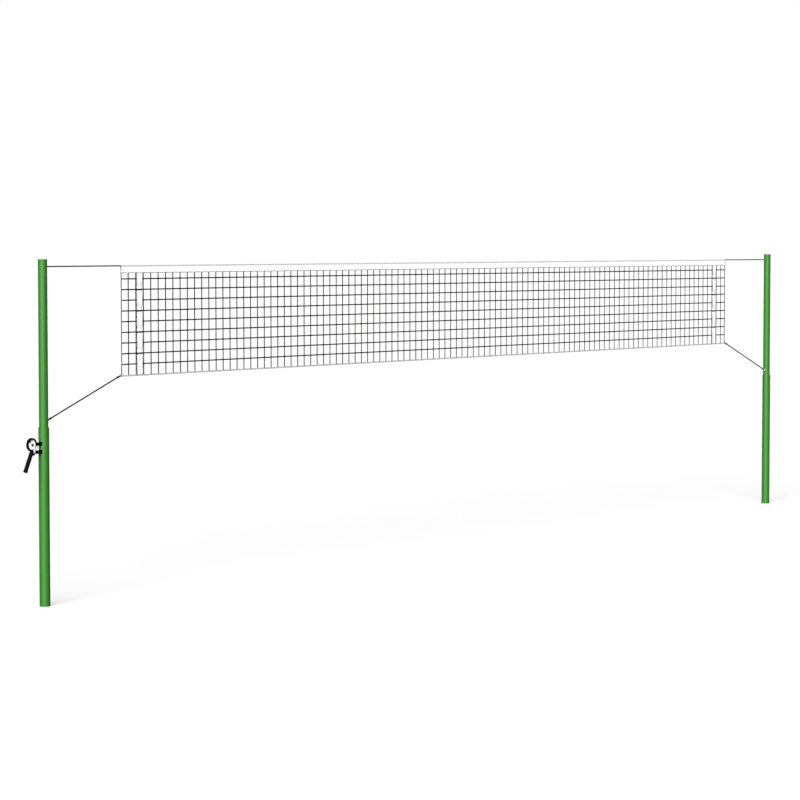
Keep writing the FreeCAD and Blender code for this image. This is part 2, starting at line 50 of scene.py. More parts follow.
# ------------------------------------------------------------------ dimensions
# millimetres, the same numbers as the construction
SPAN = 11420.0
LOWER_R, UPPER_R = 44.45, 38.05
CABLE_R, CABLE_Z = 3.0, 2797.0
SHEAVE_X, SHEAVE_Z, RISER_X = 3.0, 2772.0, -22.0
RISER_Z0 = 1369.96
TAPE_X0, TAPE_X1 = 905.0, 10515.0
TAPE_Z0 = 2736.0
HEM_X0, HEM_X1, HEM_W = 908.5, 10511.5, 11.0
BOT_Z0, BOT_Z1 = 1860.0, 1871.5
PITCH_X, PITCH_Z = 91.5, 90.5
COLS = [5710.0 + (i - 52.5) * PITCH_X for i in range(1, 105)]
ROWS = [2686.0 - PITCH_Z * j for j in range(9)]
BAND_X = (5710.0 - 50.0 * PITCH_X, 5710.0 + 50.0 * PITCH_X)
BAND_W = 70.0
WX, WZ = -168.0, 1346.0


# ------------------------------------------------------------------ mesh tools
class Mesh:
    """Collects quads and triangles with texture coordinates, then becomes one object."""

    def __init__(self):
        self.v, self.q, self.t, self.qu, self.tu, self.n = [], [], [], [], [], 0

    def add(self, verts, quads=None, quad_uv=None, tris=None, tri_uv=None):
        verts = np.asarray(verts, float).reshape(-1, 3)
        self.v.append(verts)
        if quads is not None and len(quads):
            quads = np.asarray(quads, int).reshape(-1, 4)
            self.q.append(quads + self.n)
            self.qu.append(np.zeros((len(quads), 4, 2)) if quad_uv is None else np.asarray(quad_uv, float))
        if tris is not None and len(tris):
            tris = np.asarray(tris, int).reshape(-1, 3)
            self.t.append(tris + self.n)
            self.tu.append(np.zeros((len(tris), 3, 2)) if tri_uv is None else np.asarray(tri_uv, float))
        self.n += len(verts)
        return self

    def object(self, name, material, smooth=True):
        v = np.concatenate(self.v)
        q = np.concatenate(self.q) if self.q else np.zeros((0, 4), int)
        t = np.concatenate(self.t) if self.t else np.zeros((0, 3), int)
        me = bpy.data.meshes.new(name)
        me.vertices.add(len(v))
        me.vertices.foreach_set("co", v.astype(np.float32).ravel())
        loops = np.concatenate([q.ravel(), t.ravel()]).astype(np.int32)
        me.loops.add(len(loops))
        me.loops.foreach_set("vertex_index", loops)
        starts = np.concatenate([np.arange(len(q)) * 4, len(q) * 4 + np.arange(len(t)) * 3]).astype(np.int32)
        me.polygons.add(len(starts))
        me.polygons.foreach_set("loop_start", starts)
        me.update(calc_edges=True)
        uv = me.uv_layers.new(name="UVMap")
        co = np.concatenate([np.concatenate(self.qu).reshape(-1, 2) if self.qu else np.zeros((0, 2)),
                             np.concatenate(self.tu).reshape(-1, 2) if self.tu else np.zeros((0, 2))])
        uv.data.foreach_set("uv", co.astype(np.float32).ravel())
        me.polygons.foreach_set("use_smooth", np.full(len(starts), smooth))
        me.validate()
        me.materials.append(material)
        o = bpy.data.objects.new(name, me)
        bpy.context.scene.collection.objects.link(o)
        return o


def frames_along(path, up=None):
    """Unit tangents and two normals at each point, carried along without twisting."""
    p = np.asarray(path, float)
    d = np.gradient(p, axis=0)
    d /= np.linalg.norm(d, axis=1, keepdims=True)
    n = np.zeros_like(p)
    ref = np.array(up if up is not None else (0.0, 1.0, 0.0), float)
    if abs(ref @ d[0]) > 0.95:
        ref = np.array((1.0, 0.0, 0.0)) if abs(d[0][0]) < 0.9 else np.array((0.0, 0.0, 1.0))
    a = ref - d[0] * (ref @ d[0])
    n[0] = a / np.linalg.norm(a)
    for i in range(1, len(p)):
        a = n[i - 1] - d[i] * (n[i - 1] @ d[i])
        n[i] = a / max(np.linalg.norm(a), 1e-12)
    return d, n, np.cross(d, n)


def tube(mesh, path, radius, sides=12, caps=True, up=None, v0=0.0, flat=1.0):
    """A tube along path, all in metres; flat widens it across the first normal. UV: once round, and metres along."""
    p = np.asarray(path, float)
    d, n, b = frames_along(p, up)
    r = np.broadcast_to(np.asarray(radius, float), (len(p),))
    ang = np.arange(sides) * 2 * math.pi / sides
    ring = n[:, None, :] * np.cos(ang)[None, :, None] + b[:, None, :] * (np.sin(ang) * flat)[None, :, None]
    verts = p[:, None, :] + ring * r[:, None, None]
    i, k = np.meshgrid(np.arange(len(p) - 1), np.arange(sides), indexing="ij")
    k2 = (k + 1) % sides
    quads = np.stack([i * sides + k, (i + 1) * sides + k, (i + 1) * sides + k2, i * sides + k2], -1).reshape(-1, 4)
    s = np.concatenate([[0], np.cumsum(np.linalg.norm(np.diff(p, axis=0), axis=1))]) + v0
    u0, u1 = k / sides, (k + 1) / sides
    uv = np.stack([np.stack([u0, s[i]], -1), np.stack([u0, s[i + 1]], -1), np.stack([u1, s[i + 1]], -1), np.stack([u1, s[i]], -1)], 2).reshape(-1, 4, 2)
    quads = quads[:, ::-1]
    uv = uv[:, ::-1]
    tris = None
    tri_uv = None
    verts = verts.reshape(-1, 3)
    if caps:
        c0, c1 = len(verts), len(verts) + 1
        verts = np.concatenate([verts, [p[0] - d[0] * r[0] * 0.25, p[-1] + d[-1] * r[-1] * 0.25]])
        last = (len(p) - 1) * sides
        kk = np.arange(sides)
        kn = (kk + 1) % sides
        tris = np.concatenate([np.stack([kk, kn, np.full(sides, c0)], -1)[:, ::-1] * 1,
                               np.stack([last + kn, last + kk, np.full(sides, c1)], -1)[:, ::-1] * 1])
        tris = tris[:, ::-1]
        tri_uv = np.zeros((len(tris), 3, 2))
        tri_uv[:, :, 1] = v0
    mesh.add(verts, quads, uv, tris, tri_uv)
    return mesh


def closed_tube(mesh, path, wire, sides=8):
    """A tube along a closed line, in metres."""
    p = np.asarray(path, float)
    k = len(p)
    d = np.roll(p, -1, 0) - np.roll(p, 1, 0)
    d /= np.linalg.norm(d, axis=1, keepdims=True)
    mid = p.mean(0)
    n = p - mid
    n -= d * (n * d).sum(1, keepdims=True)
    n /= np.linalg.norm(n, axis=1, keepdims=True)
    b = np.cross(d, n)
    w = np.broadcast_to(np.asarray(wire, float), (k,))
    a = np.arange(sides) * 2 * math.pi / sides
    verts = p[:, None] + (n[:, None] * np.cos(a)[None, :, None] + b[:, None] * np.sin(a)[None, :, None]) * w[:, None, None]
    i, j = np.meshgrid(np.arange(k), np.arange(sides), indexing="ij")
    i2, j2 = (i + 1) % k, (j + 1) % sides
    quads = np.stack([i * sides + j, i * sides + j2, i2 * sides + j2, i2 * sides + j], -1).reshape(-1, 4)
    s = np.concatenate([[0], np.cumsum(np.linalg.norm(np.diff(np.vstack([p, p[:1]]), axis=0), axis=1))])
    uv = np.stack([np.stack([j / sides, s[i]], -1), np.stack([(j + 1) / sides, s[i]], -1),
                   np.stack([(j + 1) / sides, s[i + 1]], -1), np.stack([j / sides, s[i + 1]], -1)], 2).reshape(-1, 4, 2)
    mesh.add(verts.reshape(-1, 3), quads, uv)
    return mesh


def grid_sheet(mesh, points, uv, thick=0.0):
    """A surface from a grid of points (n, m, 3); with thick, both faces and the rim."""
    p = np.asarray(points, float)
    n, m = p.shape[:2]
    i, k = np.meshgrid(np.arange(n - 1), np.arange(m - 1), indexing="ij")
    quads = np.stack([i * m + k, (i + 1) * m + k, (i + 1) * m + k + 1, i * m + k + 1], -1).reshape(-1, 4)
    flat_uv = np.asarray(uv, float).reshape(-1, 2)
    if not thick:
        mesh.add(p.reshape(-1, 3), quads, flat_uv[quads])
        return mesh
    du, dv = np.gradient(p, axis=0), np.gradient(p, axis=1)
    nor = np.cross(du, dv)
    nor /= np.maximum(np.linalg.norm(nor, axis=2, keepdims=True), 1e-12)
    top, low = (p + nor * thick / 2).reshape(-1, 3), (p - nor * thick / 2).reshape(-1, 3)
    base = n * m
    ring = np.concatenate([np.arange(m), np.arange(1, n) * m + m - 1, (n - 1) * m + np.arange(m - 2, -1, -1), np.arange(n - 2, 0, -1) * m])
    nxt = np.roll(ring, -1)
    rim = np.stack([ring, nxt, nxt + base, ring + base], -1)
    allq = np.concatenate([quads, quads[:, ::-1] + base, rim])
    alluv = np.concatenate([flat_uv, flat_uv])
    mesh.add(np.concatenate([top, low]), allq, alluv[allq])
    return mesh


def nurbs_line(points_mm, resolution=24):
    """The smooth line of a route: a NURBS spline with the route's points as its control points, read back as points in metres."""
    cu = bpy.data.curves.new("route", "CURVE")
    cu.dimensions = "3D"
    sp = cu.splines.new("NURBS")
    sp.points.add(len(points_mm) - 1)
    for q, p in zip(sp.points, points_mm):
        q.co = (p[0] * MM, p[1] * MM, p[2] * MM, 1.0)
    sp.order_u = 3
    sp.use_endpoint_u = True
    sp.resolution_u = resolution
    o = bpy.data.objects.new("route", cu)
    bpy.context.scene.collection.objects.link(o)
    bpy.context.view_layer.update()
    me = bpy.data.meshes.new_from_object(o.evaluated_get(bpy.context.evaluated_depsgraph_get()))
    out = np.array([v.co for v in me.vertices], float)
    bpy.data.objects.remove(o)
    bpy.data.meshes.remove(me)
    bpy.data.curves.remove(cu)
    return out


# ------------------------------------------------------------------- materials
class Look:
    """A procedural material round one Principled shader."""

    def __init__(self, name, coords="Object"):
        self.mat = bpy.data.materials.new(name)
        self.mat.use_nodes = True
        self.tree = self.mat.node_tree
        self.bsdf = next(n for n in self.tree.nodes if n.type == "BSDF_PRINCIPLED")
        self.tc = self.new("ShaderNodeTexCoord")
        self.coord = self.tc.outputs[coords]

    def new(self, kind, **props):
        n = self.tree.nodes.new(kind)
        for k, v in props.items():
            setattr(n, k, v)
        return n

    def link(self, a, b):
        self.tree.links.new(a, b)

    def const(self, **values):
        for k, v in values.items():
            self.bsdf.inputs[k.replace("_", " ")].default_value = v

    def scaled(self, scale, coord=None):
        m = self.new("ShaderNodeMapping")
        m.inputs["Scale"].default_value = scale
        self.link(coord or self.coord, m.inputs["Vector"])
        return m.outputs["Vector"]

    def noise(self, scale, detail=3.0, rough=0.55, coord=None):
        n = self.new("ShaderNodeTexNoise")
        n.inputs["Scale"].default_value = scale
        n.inputs["Detail"].default_value = detail
        n.inputs["Roughness"].default_value = rough
        self.link(coord or self.coord, n.inputs["Vector"])
        return n.outputs["Fac"]

    def voronoi(self, scale, coord=None, feature="F1"):
        n = self.new("ShaderNodeTexVoronoi", feature=feature)
        n.inputs["Scale"].default_value = scale
        self.link(coord or self.coord, n.inputs["Vector"])
        return n

    def ramp(self, fac, stops):
        n = self.new("ShaderNodeValToRGB")
        e = n.color_ramp.elements
        while len(e) < len(stops):
            e.new(0.5)
        for el, (p, c) in zip(e, stops):
            el.position = p
            el.color = (*c, 1.0) if hasattr(c, "__len__") else (c, c, c, 1.0)
        self.link(fac, n.inputs["Fac"])
        return n.outputs["Color"]

    def math(self, op, a, b=None, clamp=False):
        n = self.new("ShaderNodeMath", operation=op)
        n.use_clamp = clamp
        for i, x in enumerate([a, b]):
            if x is None:
                continue
            if isinstance(x, (int, float)):
                n.inputs[i].default_value = x
            else:
                self.link(x, n.inputs[i])
        return n.outputs[0]

    def mix(self, fac, a, b):
        n = self.new("ShaderNodeMix", data_type="RGBA")
        if isinstance(fac, (int, float)):
            n.inputs[0].default_value = fac
        else:
            self.link(fac, n.inputs[0])
        for i, x in ((6, a), (7, b)):
            if isinstance(x, tuple):
                n.inputs[i].default_value = (*x, 1.0)
            else:
                self.link(x, n.inputs[i])
        return n.outputs[2]

    def bump(self, height, distance, strength=1.0, normal=None):
        n = self.new("ShaderNodeBump")
        n.inputs["Strength"].default_value = strength
        n.inputs["Distance"].default_value = distance
        self.link(height, n.inputs["Height"])
        if normal is not None:
            self.link(normal, n.inputs["Normal"])
        return n.outputs["Normal"]

    def out(self, color=None, rough=None, normal=None):
        if color is not None:
            self.link(color, self.bsdf.inputs["Base Color"])
        if rough is not None:
            self.link(rough, self.bsdf.inputs["Roughness"])
        if normal is not None:
            self.link(normal, self.bsdf.inputs["Normal"])
        return self.mat

    def uv(self):
        s = self.new("ShaderNodeSeparateXYZ")
        self.link(self.tc.outputs["UV"], s.inputs[0])
        return s.outputs[0], s.outputs[1]

    def xyz(self):
        s = self.new("ShaderNodeSeparateXYZ")
        self.link(self.tc.outputs["Object"], s.inputs[0])
        return s.outputs[0], s.outputs[1], s.outputs[2]


def painted(name, dark, light, rough=0.3, grain=0.00012, coat=0.25, worn=None, gloss=0.5):
    """Powder coat: fine orange peel, soft mottling, faint long rub marks."""
    L = Look(name)
    cloud = L.noise(3.0, 4.0)
    fine = L.noise(220.0, 2.0)
    base = L.mix(L.math("MULTIPLY", L.math("ADD", cloud, fine), 0.5), dark, light)
    rubs = L.noise(1.0, 5.0, 0.6, L.scaled((420.0, 420.0, 5.0)))
    mask = L.ramp(rubs, [(0.0, 0.0), (0.66, 0.0), (0.78, 1.0)])
    spots = L.ramp(L.noise(9.0, 3.0), [(0.0, 0.0), (0.52, 0.0), (0.70, 1.0)])
    both = L.math("MULTIPLY", L.math("MULTIPLY", mask, spots), 0.30)
    tone = worn or tuple(min(1.0, c * 1.5 + 0.02) for c in light)
    base = L.mix(both, base, tone)
    r = L.math("ADD", L.math("MULTIPLY", L.noise(60.0, 3.0), 0.14), rough - 0.07)
    r = L.math("ADD", r, L.math("MULTIPLY", both, 0.5), clamp=True)
    n = L.bump(L.noise(900.0, 2.0), grain, 0.55)
    L.const(Metallic=0.0, Specular_IOR_Level=gloss, Coat_Weight=coat, Coat_Roughness=0.3)
    return L.out(base, r, n)


def plated(name, tone, rough=0.34, spangle=150.0, metallic=0.85):
    """Zinc plate: small spangles that differ in gloss, and drawn marks."""
    L = Look(name)
    cells = L.voronoi(spangle)
    value = L.new("ShaderNodeSeparateColor")
    L.link(cells.outputs["Color"], value.inputs[0])
    drawn = L.noise(1.0, 3.0, 0.5, L.scaled((60.0, 900.0, 60.0)))
    cloud = L.noise(14.0, 4.0)
    shade = L.math("ADD", L.math("MULTIPLY", value.outputs[0], 0.35), L.math("MULTIPLY", cloud, 0.65))
    lo = tuple(c * 0.92 for c in tone)
    base = L.mix(shade, lo, tone)
    r = L.math("ADD", L.math("MULTIPLY", value.outputs[1], 0.10), L.math("MULTIPLY", cloud, 0.16))
    r = L.math("ADD", r, rough - 0.12, clamp=True)
    n = L.bump(drawn, 0.00006, 0.5, L.bump(L.noise(380.0, 3.0), 0.00008, 0.5))
    L.const(Metallic=metallic, Specular_IOR_Level=0.5)
    return L.out(base, r, n)


def moulded(name, dark, light, rough=0.55, grain_scale=1300.0, grain=0.00015, coat=0.0, gloss=0.45):
    """Moulded plastic or rubber with a fine grained surface."""
    L = Look(name)
    cloud = L.noise(30.0, 4.0)
    base = L.mix(cloud, dark, light)
    r = L.math("ADD", L.math("MULTIPLY", L.noise(45.0, 3.0), 0.18), rough - 0.09, clamp=True)
    grainy = L.voronoi(grain_scale).outputs["Distance"]
    n = L.bump(grainy, grain, 0.5, L.bump(L.noise(90.0, 2.0), 0.0002, 0.3))
    L.const(Metallic=0.0, Specular_IOR_Level=gloss, Coat_Weight=coat)
    return L.out(base, r, n)


def laid(name, dark, light, pitch, strands, rough=0.8, depth=0.0006, sheen=0.25, fibre=2400.0, slope=1.0, gloss=0.3):
    """Laid cord: strands that run round it, with fibres in them. UV is once round and metres along."""
    L = Look(name)
    u, v = L.uv()
    phase = L.math("ADD", L.math("MULTIPLY", u, strands * slope), L.math("MULTIPLY", v, strands / pitch))
    wave = L.math("ABSOLUTE", L.math("SINE", L.math("MULTIPLY", phase, math.pi)))
    hair = L.noise(fibre, 3.0, 0.6)
    patch = L.noise(25.0, 3.0)
    tone = L.math("ADD", L.math("MULTIPLY", wave, 0.55), L.math("MULTIPLY", hair, 0.3))
    tone = L.math("ADD", tone, L.math("MULTIPLY", patch, 0.15), clamp=True)
    base = L.mix(tone, dark, light)
    r = L.math("ADD", L.math("MULTIPLY", hair, 0.15), rough - 0.07, clamp=True)
    n = L.bump(L.math("ADD", wave, L.math("MULTIPLY", hair, 0.35)), depth, 0.8)
    L.const(Metallic=0.0, Specular_IOR_Level=gloss, Sheen_Weight=sheen, Sheen_Roughness=0.5)
    return L.out(base, r, n)


def woven(name, dark, light, yarn=1.1, rough=0.62, depth=0.00022, dirt=0.05, gloss=0.35):
    """Coated woven tape: plain weave of flat yarns. UV in metres."""
    L = Look(name)
    u, v = L.uv()
    k = math.pi / (yarn * MM)
    su, sv = L.math("SINE", L.math("MULTIPLY", u, k)), L.math("SINE", L.math("MULTIPLY", v, k))
    over = L.math("MULTIPLY", su, sv)
    height = L.math("ADD", L.math("MULTIPLY", L.math("ABSOLUTE", over), 0.7), L.math("MULTIPLY", L.noise(1500.0, 2.0), 0.3))
    cloud = L.noise(4.0, 5.0, 0.6)
    smut = L.ramp(L.noise(11.0, 6.0, 0.65), [(0.0, 0.0), (0.55, 0.0), (0.8, 1.0)])
    tone = L.math("ADD", L.math("MULTIPLY", height, 0.5), L.math("MULTIPLY", cloud, 0.5), clamp=True)
    base = L.mix(tone, dark, light)
    base = L.mix(L.math("MULTIPLY", smut, dirt), base, tuple(c * 0.6 for c in dark))
    r = L.math("ADD", L.math("MULTIPLY", L.noise(70.0, 2.0), 0.14), rough - 0.07, clamp=True)
    n = L.bump(height, depth, 0.6)
    L.const(Metallic=0.0, Specular_IOR_Level=gloss, Sheen_Weight=0.1)
    return L.out(base, r, n)


def braided(name, dark, light, pitch, strands, rough=0.85, depth=0.0005, gloss=0.12):
    """Braided cord: two sets of yarns that cross on the slant. UV is once round and metres along."""
    L = Look(name)
    u, v = L.uv()
    turn, run = L.math("MULTIPLY", u, strands), L.math("MULTIPLY", v, 1.0 / pitch)
    one = L.math("ABSOLUTE", L.math("SINE", L.math("MULTIPLY", L.math("ADD", turn, run), math.pi)))
    two = L.math("ABSOLUTE", L.math("SINE", L.math("MULTIPLY", L.math("SUBTRACT", turn, run), math.pi)))
    weave = L.math("MAXIMUM", one, two)
    hair = L.noise(2200.0, 3.0, 0.6)
    tone = L.math("ADD", L.math("MULTIPLY", weave, 0.5), L.math("MULTIPLY", L.noise(25.0, 3.0), 0.2))
    tone = L.math("ADD", tone, L.math("MULTIPLY", hair, 0.3), clamp=True)
    r = L.math("ADD", L.math("MULTIPLY", hair, 0.14), rough - 0.07, clamp=True)
    n = L.bump(L.math("ADD", weave, L.math("MULTIPLY", hair, 0.3)), depth, 0.7)
    L.const(Metallic=0.0, Specular_IOR_Level=gloss)
    return L.out(L.mix(tone, dark, light), r, n)


GREEN = painted("powder_coat_green", (0.0150, 0.112, 0.0055), (0.0185, 0.134, 0.0078), 0.50, 0.00012, 0.0, (0.035, 0.17, 0.025), 0.5)
GREEN_CAP = moulded("cap_green", (0.0075, 0.074, 0.0028), (0.0105, 0.090, 0.0045), 0.55, 900.0, gloss=0.3)
# near-white and barely metallic: partly the zinc's own bright tone and partly painted reflection of the bright studio
ZINC = plated("zinc_plate_and_painted_shine", (0.95, 0.955, 0.96), 0.46, 150.0, 0.08)
ZINC_DULL = plated("zinc_wheel_and_painted_shine", (0.93, 0.935, 0.94), 0.50, 220.0, 0.08)
BLACK_METAL = painted("black_coat", (0.0010, 0.0010, 0.0011), (0.0026, 0.0026, 0.0029), 0.6, 0.00010, 0.0, (0.02, 0.02, 0.02), 0.05)
BLACK_PLASTIC = moulded("black_moulding", (0.0012, 0.0012, 0.0013), (0.0028, 0.0028, 0.0031), 0.6, 1300.0, 0.00015, 0.0, 0.07)
BUSH = moulded("nylon_black", (0.010, 0.010, 0.011), (0.018, 0.018, 0.019), 0.48, 1300.0, 0.00015, 0.0, 0.35)
GRIP = moulded("grip_rubber", (0.0010, 0.0010, 0.0011), (0.0026, 0.0026, 0.0029), 0.72, 1800.0, 0.0002, 0.0, 0.05)
CABLE = laid("sheathed_cable", (0.016, 0.0165, 0.018), (0.030, 0.031, 0.033), 0.030, 6, 0.5, 0.00016, 0.0, 900.0, gloss=0.3)
CORD = braided("net_cord", (0.0015, 0.0015, 0.0017), (0.0050, 0.0050, 0.0054), 0.012, 4)
SLEEVE = moulded("cable_sleeve", (0.010, 0.0103, 0.0112), (0.018, 0.0185, 0.0200), 0.55, 900.0, 0.0001, 0.0, 0.15)
ROPE = laid("rope_strand", (0.0040, 0.0042, 0.0046), (0.0120, 0.0125, 0.0135), 0.004, 2, 0.85, 0.0003, 0.0, gloss=0.12)
WHITE = woven("tape_white", (0.84, 0.84, 0.835), (0.90, 0.90, 0.895))
# grey: on the bottom tape's binding it is painted shade
GREY = woven("hem_grey", (0.095, 0.096, 0.099), (0.145, 0.146, 0.150), 0.9)
# mid grey of the welt over the cable: painted shade along the tape's rounded top
WELT_PAINTED_SHADE = woven("tape_welt_painted_shade", (0.30, 0.301, 0.305), (0.38, 0.381, 0.385), 0.9)
# dark grey: on the top tape's lower edge it is painted shade; the band selvedges use it as their own grey
BINDING = woven("tape_binding", (0.050, 0.051, 0.053), (0.078, 0.079, 0.082), 0.9)
# darker grey: painted shade, on the tape ends and the right side hem
SHADE_DARK_GREY = woven("hem_dark_painted_shade", (0.022, 0.0225, 0.024), (0.040, 0.0405, 0.042), 0.9)
STEEL = plated("swaged_steel", (0.155, 0.160, 0.158), 0.5, 220.0, 0.10)
THREAD = laid("sewing_thread", (0.16, 0.16, 0.165), (0.26, 0.26, 0.265), 0.003, 2, 0.7, 0.0001, 0.0)
WELD = plated("weld_bead", (0.66, 0.67, 0.69), 0.5, 300.0, 0.12)


def dress(names, material):
    for n in names:
        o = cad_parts[n]
        o.data.materials.clear()
        o.data.materials.append(material)


dress(["lower_tube_left", "lower_tube_right", "upper_tube_left", "upper_tube_right", "clamp_bosses", "top_cap_left", "top_cap_right", "cable_guide"], GREEN)
dress(["foot_plug_left", "foot_plug_right"], GREEN_CAP)
dress(["guide_bushes", "slider_rings"], BUSH)
dress(["headline_sleeves"], SLEEVE)
dress(["sheave_axle", "headline_hook"], GREEN)
dress(["headline_terminal"], STEEL)
dress(["stop_rings", "sheave_spacers", "head_sheave", "clamp_pads", "clamp_screw_left", "clamp_screw_right",
       "rope_eye_left", "rope_eye_right", "winch_bracket", "winch_bolts",
       "winch_axle", "drive_pawl", "drive_pawl_pin", "holding_pawl", "holding_pawl_pin", "lever_plate"], ZINC)
dress(["winch_drum", "ratchet_wheel"], ZINC_DULL)
dress(["winch_lugs", "lever_hoop", "axle_nut", "wheel_screw", "corner_rings"], BLACK_METAL)
dress(["clamp_knob_left", "clamp_knob_right", "pawl_trigger"], BLACK_PLASTIC)


def ready(obj, body, nodes=()):
    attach(obj, body)
    if nodes:
        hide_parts(*nodes)
    return obj


# -------------------------------------------------------------- headline cable
HEAD_ROUTE = [(RISER_X, 0, SHEAVE_Z), (RISER_X, 0, CABLE_Z), (39.0, 0, CABLE_Z), (11304.0, 0, CABLE_Z), (11340.0, 0, CABLE_Z)]
head_line = nurbs_line(HEAD_ROUTE, 32)
m = Mesh()
tube(m, head_line, CABLE_R * MM, 16)
headline = ready(m.object("headline_cable_laid", CABLE), "raised", ["headline_cable"])

# riser inside the post, drawn at one length; in the real post it lengthens as the upper tube goes up
m = Mesh()
tube(m, [(RISER_X * MM, 0, z * MM) for z in np.linspace(RISER_Z0, SHEAVE_Z, 60)], CABLE_R * MM, 12, up=(0, 1, 0))
riser = m.object("cable_riser_laid", CABLE)
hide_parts("cable_riser")
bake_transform(riser)

# cable from the drum to the foot of the riser
slope = math.asin(21.0 / 108.0)
cs, sn = math.cos(slope), math.sin(slope)
tangent = (WX + 21.0 * sn, 0.0, WZ - 21.0 * cs)
start = (tangent[0] + 8.0 * cs, 0.0, tangent[2] + 8.0 * sn)
corner_t = (RISER_X - tangent[0]) / cs
corner = (RISER_X, 0.0, tangent[2] + corner_t * sn)
near = (corner[0] - 30.0 * cs, 0.0, corner[2] - 30.0 * sn)
WINCH_ROUTE = [start, near, corner, (RISER_X, 0.0, RISER_Z0)]
winch_line = nurbs_line(WINCH_ROUTE, 16)
m = Mesh()
tube(m, winch_line, CABLE_R * MM, 14, up=(0, 1, 0))
winch_cable = ready(m.object("winch_cable_laid", CABLE), "posts", ["winch_cable"])

# turns on the drum
turns = []
per, total = 16, 3.1
for k in range(int(per * total) + 1):
    t = k / per - total / 2
    ang = math.radians(-90) + slope * 1.0 + t * 2 * math.pi
    turns.append((WX + 21.3 * math.cos(ang), 6.25 * t, WZ + 21.3 * math.sin(ang)))
m = Mesh()
tube(m, nurbs_line(turns, 6), CABLE_R * MM, 12, up=(0, 1, 0))
ready(m.object("cable_turns", CABLE), "drum", ["cable_wraps"])


# ------------------------------------------------------------------------- net
CORD_W, CORD_T = 11.5, 4.0


def cords(mesh, starts, ends, step_mm, sides, wobble, width=CORD_W):
    """Flat braided net cords with a slight irregular line and width."""
    for a, b in zip(starts, ends):
        a, b = np.array(a, float), np.array(b, float)
        length = np.linalg.norm(b - a)
        k = max(2, int(length / step_mm))
        t = np.linspace(0, 1, k + 1)
        p = a + (b - a) * t[:, None]
        off = rng.normal(0, wobble, (k + 1, 3))
        off[0] = off[-1] = 0
        off = (off + np.roll(off, 1, 0) + np.roll(off, -1, 0)) / 3
        d = (b - a) / length
        off -= d * (off @ d)[:, None]
        r = CORD_T / 2 * (1 + rng.normal(0, 0.03, k + 1))
        tube(mesh, (p + off) * MM, r * MM, sides, caps=True, up=(0, 1, 0), v0=float(rng.random()), flat=width / CORD_T)
    return mesh


m = Mesh()
cords(m, [(x, -1.2, BOT_Z1 - 5) for x in COLS], [(x, -1.2, TAPE_Z0 + 7) for x in COLS], 22.0, 10, 0.22, 12.4)
columns = ready(m.object("net_column_cords", CORD), "raised", ["net_mesh"])
m = Mesh()
cords(m, [(HEM_X0 + HEM_W - 5, 1.2, z) for z in ROWS], [(HEM_X1 - HEM_W + 5, 1.2, z) for z in ROWS], 15.25, 10, 0.22)
rows_ = ready(m.object("net_row_cords", CORD), "raised", ["net_mesh"])

# ties: a turn of twine round the row cord and one round the column cord
knot = Mesh()
a = np.linspace(0, 2 * math.pi * 1.25, 11)
tube(knot, np.stack([np.linspace(-3.8, 3.8, 11), 3.9 * np.cos(a), 6.3 * np.sin(a)], -1) * MM, 1.5 * MM, 5, caps=True, up=(1, 0, 0))
a = np.linspace(0.6, 0.6 + 2 * math.pi * 1.1, 10)
tube(knot, np.stack([6.3 * np.cos(a), 4.1 * np.sin(a), np.linspace(-3.6, 3.6, 10)], -1) * MM, 1.5 * MM, 5, caps=True, up=(0, 0, 1))
kv = np.concatenate(knot.v)
kq, kqu = np.concatenate(knot.q), np.concatenate(knot.qu)
kt, ktu = np.concatenate(knot.t), np.concatenate(knot.tu)
m = Mesh()
for x in COLS:
    for z in ROWS:
        yaw = rng.choice([0.0, math.pi]) + rng.normal(0, 0.05)
        s_ = 1 + rng.normal(0, 0.03)
        co = kv * s_
        co = np.stack([co[:, 0] * math.cos(yaw) - co[:, 1] * math.sin(yaw), co[:, 0] * math.sin(yaw) + co[:, 1] * math.cos(yaw), co[:, 2]], -1)
        m.add(co + np.array((x, 0, z)) * MM, kq, kqu, kt, ktu)
knots = ready(m.object("net_knots", CORD), "raised", ["net_mesh"])

# ------------------------------------------------------------------- top tape
pinch = {}
xs = [TAPE_X0, TAPE_X0 + 5]
edges = [HEM_X0 + HEM_W / 2] + COLS + [HEM_X1 - HEM_W / 2]
for c0 in edges:
    xs += [c0 - 13, c0 - 8.5, c0 - 5.5, c0 - 2.5, c0, c0 + 2.5, c0 + 5.5, c0 + 8.5, c0 + 13]
for c0, c1 in zip(edges[:-1], edges[1:]):
    xs += list(np.linspace(c0 + 24, c1 - 24, 3))
xs = np.array(sorted({round(x, 2) for x in xs + [TAPE_X1 - 5, TAPE_X1] if TAPE_X0 <= x <= TAPE_X1}))
near_cord = np.min(np.abs(xs[:, None] - np.array(edges)[None]), axis=1)
swell = np.exp(-(near_cord / 8.0) ** 4)


def tape_half(g):
    """Front half of the folded tape: (y, z) from its lower edge to the top of the cable."""
    pts = [(-g, TAPE_Z0), (-g, TAPE_Z0 + 2.5), (-(g * 0.92 + 0.1), TAPE_Z0 + 6), (-(g * 0.6 + 0.9), TAPE_Z0 + 12), (-2.0, TAPE_Z0 + 22),
           (-1.9, TAPE_Z0 + 34), (-1.6, TAPE_Z0 + 46), (-1.2, TAPE_Z0 + 51.5), (-1.5, TAPE_Z0 + 54)]
    for deg in (215, 200, 185, 168, 150, 132, 115, 100, 90):
        pts.append((4.0 * math.cos(math.radians(deg)), CABLE_Z + 4.0 * math.sin(math.radians(deg))))
    return pts


